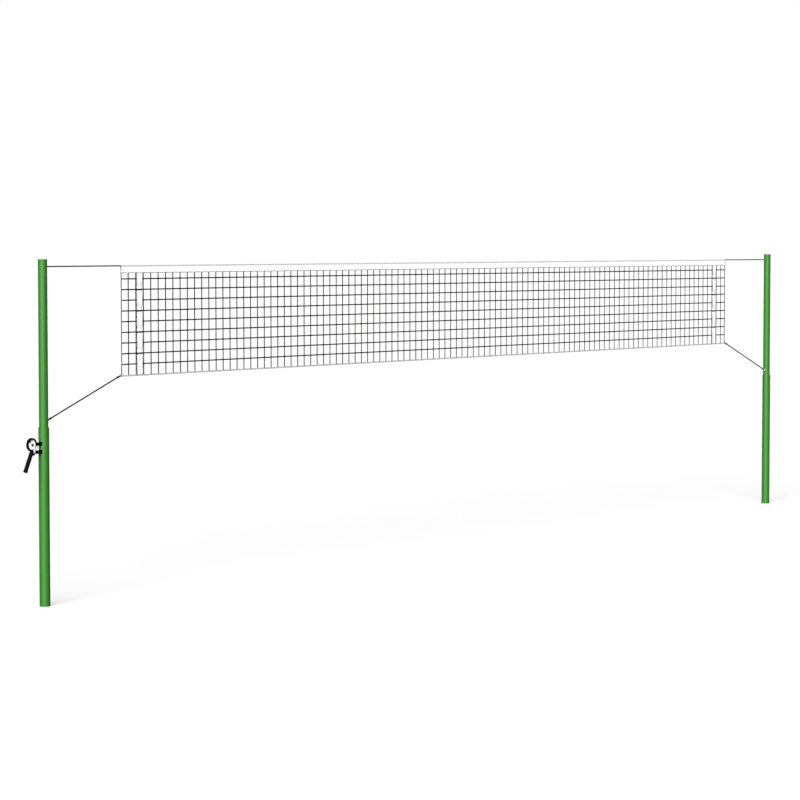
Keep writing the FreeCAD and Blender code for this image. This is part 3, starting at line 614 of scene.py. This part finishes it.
prof = []
wave_x = rng.normal(0, 0.35, len(xs))
wave_x = np.convolve(wave_x, np.ones(9) / 9, mode="same")
for x, sw, w in zip(xs, swell, wave_x):
    half = tape_half(1.3 + 2.5 * sw)
    full = half + [(-y, z) for y, z in reversed(half[:-1])]
    prof.append([(x, y + (w if z < CABLE_Z - 6 else 0) * (1 - abs((z - 2765) / 40.0)) if 2738 < z < 2790 else y, z) for y, z in full])
P = np.array(prof) * MM
steps = np.linalg.norm(np.diff(P, axis=1), axis=2)
across = np.concatenate([np.zeros((len(xs), 1)), np.cumsum(steps, axis=1)], axis=1)
UV = np.stack([np.broadcast_to(P[:, :, 0], across.shape), across], -1)
m = Mesh()
grid_sheet(m, P, UV, 0.8 * MM)
top_tape = ready(m.object("top_tape_folded", WHITE), "raised", ["top_tape"])


def stitches(mesh, line, normal, length=3.6, gap=1.6, rise=0.35, r=0.32):
    """Sewn thread along a line (metres): short humps that dip into the cloth."""
    L = np.concatenate([[0], np.cumsum(np.linalg.norm(np.diff(line, axis=0), axis=1))])
    pitch = (length + gap) * MM
    k = int(L[-1] / pitch)
    s0 = np.arange(k) * pitch
    shape = np.array([0.0, 0.22, 0.5, 0.78, 1.0])
    lift = np.array([-0.25, 0.75, 1.0, 0.75, -0.25]) * rise * MM
    s = s0[:, None] + shape[None] * length * MM
    pts = np.stack([np.interp(s, L, line[:, i]) for i in range(3)], -1)
    nrm = np.asarray(normal, float)
    pts = pts + lift[None, :, None] * nrm
    d = pts[:, -1] - pts[:, 0]
    d /= np.linalg.norm(d, axis=1, keepdims=True)
    side = np.cross(d, nrm)
    ang = np.arange(4) * math.pi / 2
    ring = (side[:, None, None] * np.cos(ang)[None, None, :, None] + nrm[None, None, None] * np.sin(ang)[None, None, :, None]) * r * MM
    verts = pts[:, :, None] + ring
    n, a_, b_ = verts.shape[:3]
    i, j, q = np.meshgrid(np.arange(n), np.arange(a_ - 1), np.arange(b_), indexing="ij")
    q2 = (q + 1) % b_
    base = i * a_ * b_
    quads = np.stack([base + j * b_ + q, base + j * b_ + q2, base + (j + 1) * b_ + q2, base + (j + 1) * b_ + q], -1).reshape(-1, 4)
    uv = np.zeros((len(quads), 4, 2))
    uv[:, 2:, 1] = 0.0012
    uv[:, 1:3, 0] = 0.25
    mesh.add(verts.reshape(-1, 3), quads, uv)
    return mesh


def row_line(col, sign, lift=0.42):
    """Points of the tape's cloth along one column of its grid, just proud of it."""
    q = P[:, col].copy()
    q[:, 1] += sign * lift * MM
    return q


n_half = len(tape_half(1.0))
n_full = 2 * n_half - 1
m = Mesh()
for col in (2, 7):
    stitches(m, row_line(col, -1), (0, -1, 0), 5.0, 2.4)
    stitches(m, row_line(n_full - 1 - col, 1), (0, 1, 0), 5.0, 2.4)
tape_seams = ready(m.object("top_tape_seams", THREAD), "raised")

# grey binding folded over the lower edge, and the grey welt over the cable: their grey is painted shade, standing in
# for the shading along the tape's folded edges
m = Mesh()
B = []
for x, sw in zip(xs, swell):
    g = 1.3 + 2.5 * sw + 0.85
    B.append([(x, -g + 0.1, TAPE_Z0 + 3.6), (x, -g - 0.05, TAPE_Z0 + 2.2), (x, -g, TAPE_Z0 + 0.8), (x, -g * 0.7, TAPE_Z0 - 0.6), (x, -g * 0.3, TAPE_Z0 - 1.0),
              (x, g * 0.3, TAPE_Z0 - 1.0), (x, g * 0.7, TAPE_Z0 - 0.6), (x, g, TAPE_Z0 + 0.8), (x, g + 0.05, TAPE_Z0 + 2.2), (x, g - 0.1, TAPE_Z0 + 3.6)])
B = np.array(B) * MM
ab = np.concatenate([np.zeros((len(xs), 1)), np.cumsum(np.linalg.norm(np.diff(B, axis=1), axis=2), axis=1)], axis=1)
grid_sheet(m, B, np.stack([B[:, :, 0], ab], -1), 0.5 * MM)
tape_binding = ready(m.object("top_tape_binding_painted_shade", BINDING), "raised")
m = Mesh()
W = []
for x in xs[::2]:
    W.append([(x, 4.75 * math.cos(math.radians(dg)), CABLE_Z + 4.75 * math.sin(math.radians(dg))) for dg in (183, 170, 158, 145, 131, 117, 104, 90, 76, 63, 49, 35, 22, 10, -3)])
W = np.array(W) * MM
aw = np.concatenate([np.zeros((len(W), 1)), np.cumsum(np.linalg.norm(np.diff(W, axis=1), axis=2), axis=1)], axis=1)
grid_sheet(m, W, np.stack([W[:, :, 0], aw], -1), 0.5 * MM)
tape_welt_painted_shade = ready(m.object("top_tape_welt", WELT_PAINTED_SHADE), "raised")
# ends of the tape bound in a darker grey: painted shade, standing in for the shadow in the end folds
m = Mesh()
for x0, x1 in ((TAPE_X0 - 0.5, TAPE_X0 + 8.5), (TAPE_X1 - 8.5, TAPE_X1 + 0.5)):
    E = []
    for x in (x0, (x0 + x1) / 2, x1):
        E.append([(x, y * 1.0 + (-0.75 if y < 0 else 0.75), z) for y, z in tape_half(1.6)[1:11]])
    grid_sheet(m, np.array(E) * MM, np.stack([np.array(E)[:, :, 0] * MM, np.array(E)[:, :, 2] * MM], -1), 0.5 * MM)
    E = [[(x, -y, z) for x, y, z in reversed(r)] for r in E]
    grid_sheet(m, np.array(E) * MM, np.stack([np.array(E)[:, :, 0] * MM, np.array(E)[:, :, 2] * MM], -1), 0.5 * MM)
tape_ends_painted_shade = ready(m.object("top_tape_ends", SHADE_DARK_GREY), "raised")

# ---------------------------------------------------------------- bottom tape
bx = np.array(sorted({round(x, 2) for x in xs if HEM_X0 < x < HEM_X1} | {HEM_X0, HEM_X1}))
near_b = np.min(np.abs(bx[:, None] - np.array(edges)[None]), axis=1)
sb = np.exp(-(near_b / 8.0) ** 4)
sag = 0.9 * (1 - np.exp(-(near_b / 14.0) ** 2))
Q = []
for x, sw, dz in zip(bx, sb, sag):
    g = 1.0 + 2.4 * sw
    z0, z1 = BOT_Z0 + 0.6 - dz * 0.0, BOT_Z1 - dz
    Q.append([(x, -g, z1), (x, -g, z1 - 3), (x, -(g * 0.7 + 0.7), (z0 + z1) / 2), (x, -2.0, z0 + 2.5), (x, -1.4, z0 + 0.8), (x, 0, z0),
              (x, 1.4, z0 + 0.8), (x, 2.0, z0 + 2.5), (x, g * 0.7 + 0.7, (z0 + z1) / 2), (x, g, z1 - 3), (x, g, z1)])
Q = np.array(Q) * MM
aq = np.concatenate([np.zeros((len(bx), 1)), np.cumsum(np.linalg.norm(np.diff(Q, axis=1), axis=2), axis=1)], axis=1)
m = Mesh()
grid_sheet(m, Q, np.stack([Q[:, :, 0], aq], -1), 0.8 * MM)
bottom_tape = ready(m.object("bottom_tape_folded", WHITE), "raised", ["bottom_tape"])
m = Mesh()
for col, sg in ((1, -1), (9, 1)):
    q = Q[:, col].copy()
    q[:, 1] += sg * 0.42 * MM
    stitches(m, q, (0, sg, 0), 5.0, 2.4)
q = Q[:, 3].copy()
q[:, 1] -= 0.42 * MM
stitches(m, q, (0, -1, 0), 5.0, 2.4)
q = Q[:, 7].copy()
q[:, 1] += 0.42 * MM
stitches(m, q, (0, 1, 0), 5.0, 2.4)
bottom_seams = ready(m.object("bottom_tape_seams", THREAD), "raised")
# grey binding along its upper edges and round its foot: painted shade, standing in for the shading along the tape's
# folded edges and the shadow under its foot
m = Mesh()
for cols_ in ([0, 1], [9, 10]):
    sg = -1 if cols_[0] == 0 else 1
    E = Q[:, cols_].copy()
    E[:, :, 1] += sg * 0.62 * MM
    E[:, 0 if sg < 0 else 1, 2] += 0.3 * MM
    E[:, 1 if sg < 0 else 0, 2] -= 0.8 * MM
    grid_sheet(m, E, np.stack([E[:, :, 0], E[:, :, 2]], -1), 0.4 * MM)
E = Q[:, 3:8].copy()
E[:, 0, 2] += 1.4 * MM
E[:, 4, 2] += 1.4 * MM
E[:, :, 1] *= 1.32
E[:, 2, 2] -= 0.62 * MM
E[:, 1, 2] -= 0.45 * MM
E[:, 3, 2] -= 0.45 * MM
grid_sheet(m, E, np.stack([E[:, :, 0], E[:, :, 1]], -1), 0.4 * MM)
bottom_binding_shade = ready(m.object("bottom_tape_binding_painted_shade", GREY), "raised")

# ------------------------------------------------------------------ side hems
for side, xo, sg in (("left", HEM_X0, 1), ("right", HEM_X1, -1)):
    zs = [BOT_Z1 - 0.5]
    for z in sorted(ROWS):
        zs += [z - 13, z - 9, z - 6, z - 3, z, z + 3, z + 6, z + 9, z + 13, z + 30, z + 60]
    zs = np.array(sorted(z for z in zs if BOT_Z1 - 1 < z < TAPE_Z0 - 3) + [TAPE_Z0 + 1.0])
    nz = np.min(np.abs(zs[:, None] - np.array(ROWS)[None]), axis=1)
    H = []
    for z, d in zip(zs, nz):
        g = 1.5 + 2.3 * math.exp(-(d / 8.0) ** 4)
        H.append([(xo + sg * HEM_W, -g, z), (xo + sg * (HEM_W - 3), -g, z), (xo + sg * 5.5, -(g * 0.5 + 1.3), z), (xo + sg * 2.0, -2.1, z), (xo + sg * 0.7, -1.2, z), (xo + sg * 0.4, 0, z),
                  (xo + sg * 0.7, 1.2, z), (xo + sg * 2.0, 2.1, z), (xo + sg * 5.5, g * 0.5 + 1.3, z), (xo + sg * (HEM_W - 3), g, z), (xo + sg * HEM_W, g, z)])
    H = np.array(H) * MM
    if sg > 0:
        H = H[::-1]
    ah = np.concatenate([np.zeros((len(zs), 1)), np.cumsum(np.linalg.norm(np.diff(H, axis=1), axis=2), axis=1)], axis=1)
    m = Mesh()
    grid_sheet(m, H, np.stack([H[:, :, 2], ah], -1), 0.8 * MM)
    # the right hem takes a darker grey than the left: painted shade, as the right hem shows its shaded side
    hem = ready(m.object("side_hem_" + side + "_folded", GREY if sg > 0 else SHADE_DARK_GREY), "raised", ["side_hem_" + side])
    m = Mesh()
    for col, s2 in ((1, -1), (9, 1)):
        q = H[:, col].copy()
        q[:, 1] += s2 * 0.42 * MM
        stitches(m, q, (0, s2, 0), 5.0, 2.4)
    seam = ready(m.object("side_hem_" + side + "_seams", THREAD), "raised")

# ------------------------------------------------------------------ side bands
for side, xc in (("left", BAND_X[0]), ("right", BAND_X[1])):
    zs = np.linspace(TAPE_Z0 - 0.5, BOT_Z1 + 0.5, 260)
    mid_y, off = 2.0, 3.2
    ys = []
    for z in zs:
        # smooth weave: front over the odd rows, behind the even ones
        t = (ROWS[0] - z) / PITCH_Z
        ys.append(-off * math.cos(math.pi * t) if -0.45 < t < 8.45 else -off * math.cos(math.pi * min(max(t, 0.0), 8.0)))
    ys = mid_y + np.clip(np.array(ys) * 1.5, -off, off)
    across_x = np.linspace(-BAND_W / 2, BAND_W / 2, 13)
    crown = 0.25 * (1 - (across_x / (BAND_W / 2)) ** 2)
    S = np.zeros((len(zs), len(across_x), 3))
    S[:, :, 0] = xc + across_x[None]
    S[:, :, 1] = ys[:, None] + crown[None] * 0.4
    S[:, :, 2] = zs[:, None]
    S *= MM
    s_len = np.concatenate([[0], np.cumsum(np.hypot(np.diff(ys), np.diff(zs)))]) * MM
    uvs = np.stack([np.broadcast_to(across_x[None] * MM, S.shape[:2]), np.broadcast_to(s_len[:, None], S.shape[:2])], -1)
    m = Mesh()
    grid_sheet(m, S, uvs, 1.4 * MM)
    band = ready(m.object("side_band_" + side + "_woven", WHITE), "raised", ["side_band_" + side])
    m = Mesh()
    for col in (1, 11):
        q = S[:, col].copy()
        q[:, 1] -= 0.72 * MM
        stitches(m, q, (0, -1, 0), 4.0, 2.0)
        q = S[:, col].copy()
        q[:, 1] += 0.72 * MM
        stitches(m, q, (0, 1, 0), 4.0, 2.0)
    seam = ready(m.object("side_band_" + side + "_seams", THREAD), "raised")
    # grey selvedge folded round each long edge
    m = Mesh()
    for sg in (-1, 1):
        F = np.zeros((len(zs), 7, 3))
        for k, (dx, dy) in enumerate(((-4.2, -0.98), (-2.0, -1.02), (0.3, -0.9), (0.75, 0.0), (0.3, 0.9), (-2.0, 1.02), (-4.2, 0.98))):
            F[:, k, 0] = xc + sg * (BAND_W / 2 + dx)
            F[:, k, 1] = ys + dy
            F[:, k, 2] = zs
        F *= MM
        if sg < 0:
            F = F[:, ::-1].copy()
        af = np.concatenate([[0], np.cumsum(np.linalg.norm(np.diff(F[0], axis=0), axis=1))])
        grid_sheet(m, F, np.stack([np.broadcast_to(af[None], F.shape[:2]), np.broadcast_to(s_len[:, None], F.shape[:2])], -1), 0.4 * MM)
    selvedge = ready(m.object("side_band_" + side + "_selvedge", BINDING), "raised")

# ---------------------------------------------------------------- corner ropes
EYE_Z, EYE_R, EYE_W = 1535.0, 10.0, 3.0
RING_R, RING_W = 8.0, 1.8
RING_X, RING_Z = HEM_X0 - RING_R - RING_W - 0.2, 1868.0


def rope_mesh(mesh, line, r=6.5, pitch=0.045, sides=10):
    """Three laid strands round the line."""
    d, n, b = frames_along(line, (0, 1, 0))
    s = np.concatenate([[0], np.cumsum(np.linalg.norm(np.diff(line, axis=0), axis=1))])
    for k in range(3):
        a = 2 * math.pi * (s / pitch + k / 3)
        strand = line + (n * np.cos(a)[:, None] + b * np.sin(a)[:, None]) * (r * 0.50 * MM)
        tube(mesh, strand, r * 0.52 * MM, sides, caps=True, up=(0, 1, 0))
    return mesh


for side, ex, rx, sg in (("left", UPPER_R + 9, RING_X, 1), ("right", SPAN - UPPER_R - 9, SPAN - RING_X, -1)):
    a0, b0 = np.array((ex, 0, EYE_Z)), np.array((rx, 0, RING_Z))
    d = (b0 - a0) / np.linalg.norm(b0 - a0)
    p0 = a0 + d * (EYE_R + EYE_W + 0.15)
    p1 = b0 - d * (RING_R + RING_W + 0.15)
    q0, q1 = p0 + d * 6, p1 - d * 6
    line = nurbs_line([tuple(q0), tuple((q0 + q1) / 2), tuple(q1)], 400)
    m = Mesh()
    rope_mesh(m, line)
    rope = ready(m.object("corner_rope_" + side + "_laid", ROPE), "raised", ["corner_rope_" + side])
    # eye loops and their whippings
    m = Mesh()
    for origin, dirn, hole_r, wire in ((a0, d, EYE_R, EYE_W), (b0, -d, RING_R, RING_W)):
        rr = 3.9
        cx_, half = hole_r, wire + rr + 0.25
        loop = []
        for deg in np.linspace(100, 260, 15):
            t = math.radians(deg)
            loop.append((cx_ + half * math.cos(t), half * math.sin(t)))
        legs0 = [(cx_ + 27.0, 4.0), (cx_ + 17.0, 5.4)]
        legs1 = [(cx_ + 17.0, -5.4), (cx_ + 27.0, -4.0)]
        route = legs0 + loop + legs1
        world = [tuple(origin + dirn * s_ + np.array((0, 1, 0)) * y_) for s_, y_ in route]
        ln = nurbs_line(world, 6)
        tube(m, ln, rr * MM, 10, caps=True, up=(0, 0, 1))
        # whipping: close turns round rope and legs
        w0, w1 = cx_ + 15.0, cx_ + 31.0
        k = 60
        tt = np.linspace(0, 1, k * 5)
        ang = tt * 2 * math.pi * 6.5
        bz = np.cross(dirn, (0, 1, 0))
        path = [origin + dirn * (w0 + (w1 - w0) * t_) + np.array((0, 1, 0)) * (9.2 * math.cos(x_)) + bz * (7.3 * math.sin(x_)) for t_, x_ in zip(tt, ang)]
        tube(m, np.array(path) * MM, 1.3 * MM, 6, caps=True, up=dirn)
    loops = ready(m.object("corner_rope_" + side + "_loops", ROPE), "raised")

# ------------------------------------------------------------- winch and posts
tilt = math.radians(24.6)
ut = np.array((-math.sin(tilt), 0.0, -math.cos(tilt)))
g0 = np.array((WX - 5.0, -38.0, WZ - 58.0))
radii = []
ts = np.linspace(0, 181, 182)
for t in ts:
    base = np.interp(t, [0, 3, 40, 90, 140, 162, 170, 176, 181], [14.6, 17.0, 17.2, 17.6, 17.2, 17.6, 18.4, 18.4, 16.0])
    if 14 < t < 154:
        ph = (t - 14) / 140 * 17
        base += 0.75 * (abs(math.sin(ph * math.pi)) ** 0.6) - 0.5
    radii.append(base)
m = Mesh()
line = np.array([g0 + ut * t for t in [-0.05] + list(ts) + [181.05]])
radii = np.array([0.5 * radii[0]] + radii + [0.55 * radii[-1]])
tube(m, line * MM, radii * MM, 40, caps=True, up=(0, 1, 0))
ready(m.object("lever_grip_ribbed", GRIP), "lever", ["lever_grip"])


def spring(px, pz, y0, r, wire, length, leg, turns_n):
    tt = np.linspace(0, 1, int(turns_n * 20))
    ang = tt * 2 * math.pi * turns_n
    d_ = np.array((leg[0], 0, leg[2]), float)
    ln_ = np.linalg.norm(d_)
    d_ /= ln_
    side_ = np.array((d_[2], 0, -d_[0]))
    up_ = -d_
    y = y0 + wire + tt * (length - 2 * wire)
    coil = [np.array((px, yy, pz)) + (side_ * math.cos(a_) + up_ * math.sin(a_)) * r for a_, yy in zip(ang, y)]
    legp = [np.array((px, y0 + wire, pz)) + side_ * r + d_ * s_ for s_ in np.linspace(ln_, 1.0, 8)]
    mm_ = Mesh()
    tube(mm_, np.array(legp + coil) * MM, wire * 0.95 * MM, 8, caps=True, up=(0, 1, 0))
    return mm_


ready(spring(WX + 24.0, WZ - 56.0, -35.2, 5.3, 0.9, 3.8, (9, 0, 10), 2.2).object("drive_spring_coil", ZINC_DULL), "lever", ["drive_pawl_spring"])
ready(spring(WX + 54.0, WZ - 44.0, -12.3, 5.4, 1.0, 8.0, (12, 0, -14), 4.0).object("holding_spring_coil", ZINC_DULL), "posts", ["holding_pawl_spring"])

# weld beads
m_post, m_up, m_lug = Mesh(), Mesh(), Mesh()
cd = np.array((math.sqrt(0.5), math.sqrt(0.5), 0))
cside = np.cross(cd, (0, 0, 1))
for x in (0.0, SPAN):
    pts, ww = [], []
    for k in range(72):
        a = 2 * math.pi * k / 72
        u_, v_ = 13.6 * math.cos(a), 13.6 * math.sin(a)
        pts.append(np.array((x, 0, 1400.0)) + cd * (math.sqrt(LOWER_R ** 2 - u_ ** 2) + 0.5) + cside * u_ + np.array((0, 0, v_)))
        ww.append(1.7 * (1 + 0.12 * math.sin(a * 24)))
    closed_tube(m_post, np.array(pts) * MM, np.array(ww) * MM)
for z0, z1 in ((1333.0, 1360.0), (1267.0, 1295.0)):
    pts = []
    for y in np.linspace(-21.4, 21.4, 22):
        pts.append((-math.sqrt(LOWER_R ** 2 - y ** 2) - 0.2, y, z1 + 0.6))
    for z in np.linspace(z1, z0, 12):
        pts.append((-math.sqrt(LOWER_R ** 2 - 21.6 ** 2) - 0.2, 21.6, z))
    for y in np.linspace(21.4, -21.4, 22):
        pts.append((-math.sqrt(LOWER_R ** 2 - y ** 2) - 0.2, y, z0 - 0.6))
    for z in np.linspace(z0, z1, 12):
        pts.append((-math.sqrt(LOWER_R ** 2 - 21.6 ** 2) - 0.2, -21.6, z))
    pts = np.array(pts)
    closed_tube(m_lug, pts * MM, 1.5 * (1 + 0.12 * np.sin(np.arange(len(pts)) * 1.9)) * MM)
ready(m_post.object("boss_weld_beads", GREEN), "posts")
ready(m_lug.object("lug_weld_beads", BLACK_METAL), "posts")
for x, sg in ((0.0, 1), (SPAN, -1)):
    for zz in (-4.4, 4.4):
        pts = []
        for k in range(28):
            a = 2 * math.pi * k / 28
            y, z = 3.7 * math.cos(a), EYE_Z + zz + 4.6 * math.sin(a)
            pts.append((x + sg * (math.sqrt(UPPER_R ** 2 - y ** 2) + 0.2), y, z))
        closed_tube(m_up, np.array(pts) * MM, 1.0 * MM, 6)
ready(m_up.object("eye_weld_beads", WELD), "raised")

# ------------------------------------------------------ floor, light and camera
bpy.ops.mesh.primitive_plane_add(size=400.0, location=(SPAN / 2 * MM, 0, -0.0005))
floor = bpy.context.object
floor.name = "studio_floor"
fl = Look("studio_floor")
fl.const(Specular_IOR_Level=0.0)
tone = fl.mix(fl.noise(0.8, 4.0), (0.292, 0.292, 0.292), (0.308, 0.308, 0.308))
fl.bsdf.inputs["Emission Color"].default_value = (1.0, 1.0, 1.0, 1.0)
fl.bsdf.inputs["Emission Strength"].default_value = 0.395
floor.data.materials.append(fl.out(tone, fl.math("ADD", fl.math("MULTIPLY", fl.noise(30.0), 0.05), 0.9)))
floor.visible_diffuse = False
floor.visible_glossy = False

world = bpy.data.worlds.new("studio")
bpy.context.scene.world = world
world.use_nodes = True
wt = world.node_tree
wt.nodes.clear()
w_out = wt.nodes.new("ShaderNodeOutputWorld")
w_mix = wt.nodes.new("ShaderNodeMixShader")
w_mix2 = wt.nodes.new("ShaderNodeMixShader")
w_dark = wt.nodes.new("ShaderNodeBackground")
w_dark.inputs["Color"].default_value = (1.0, 1.0, 1.0, 1.0)
w_dark.inputs["Strength"].default_value = 0.02
w_path = wt.nodes.new("ShaderNodeLightPath")
w_fill = wt.nodes.new("ShaderNodeBackground")
w_white = wt.nodes.new("ShaderNodeBackground")
w_fill.inputs["Color"].default_value = (1.0, 1.0, 1.0, 1.0)
w_fill.inputs["Strength"].default_value = 0.14
w_white.inputs["Color"].default_value = (1.0, 1.0, 1.0, 1.0)
w_white.inputs["Strength"].default_value = 1.0
wt.links.new(w_path.outputs["Is Camera Ray"], w_mix.inputs["Fac"])
wt.links.new(w_path.outputs["Is Glossy Ray"], w_mix2.inputs["Fac"])
wt.links.new(w_fill.outputs[0], w_mix2.inputs[1])
wt.links.new(w_dark.outputs[0], w_mix2.inputs[2])
wt.links.new(w_mix2.outputs[0], w_mix.inputs[1])
wt.links.new(w_white.outputs[0], w_mix.inputs[2])
wt.links.new(w_mix.outputs[0], w_out.inputs["Surface"])


def sun(name, towards, strength, angle):
    """A soft lamp so far off that the whole net has the same light; towards points to the lamp."""
    data = bpy.data.lights.new(name, "SUN")
    data.energy = strength
    data.angle = math.radians(angle)
    o = bpy.data.objects.new(name, data)
    bpy.context.scene.collection.objects.link(o)
    o.rotation_euler = Vector(towards).to_track_quat("Z", "Y").to_euler()
    return o


sun("key", (-0.883, -0.469, 0.577), 8.85, 40.0)
back = sun("back", (0.90, 0.44, 0.60), 3.2, 50.0)
back.visible_glossy = False
back.data.use_shadow = False

bpy.context.scene.view_settings.view_transform = "Standard"
bpy.context.scene.view_settings.look = "None"

cam = bpy.data.objects.new("camera", bpy.data.cameras.new("camera"))
bpy.context.scene.collection.objects.link(cam)
cam.location = (-15.736, -16.313, 3.0016)
cam.rotation_euler = (math.radians(86.693), 0.0, math.radians(-51.388))
cam.data.sensor_width = 36.0
cam.data.lens = 123.4
cam.data.clip_end = 600.0
bpy.context.scene.camera = cam
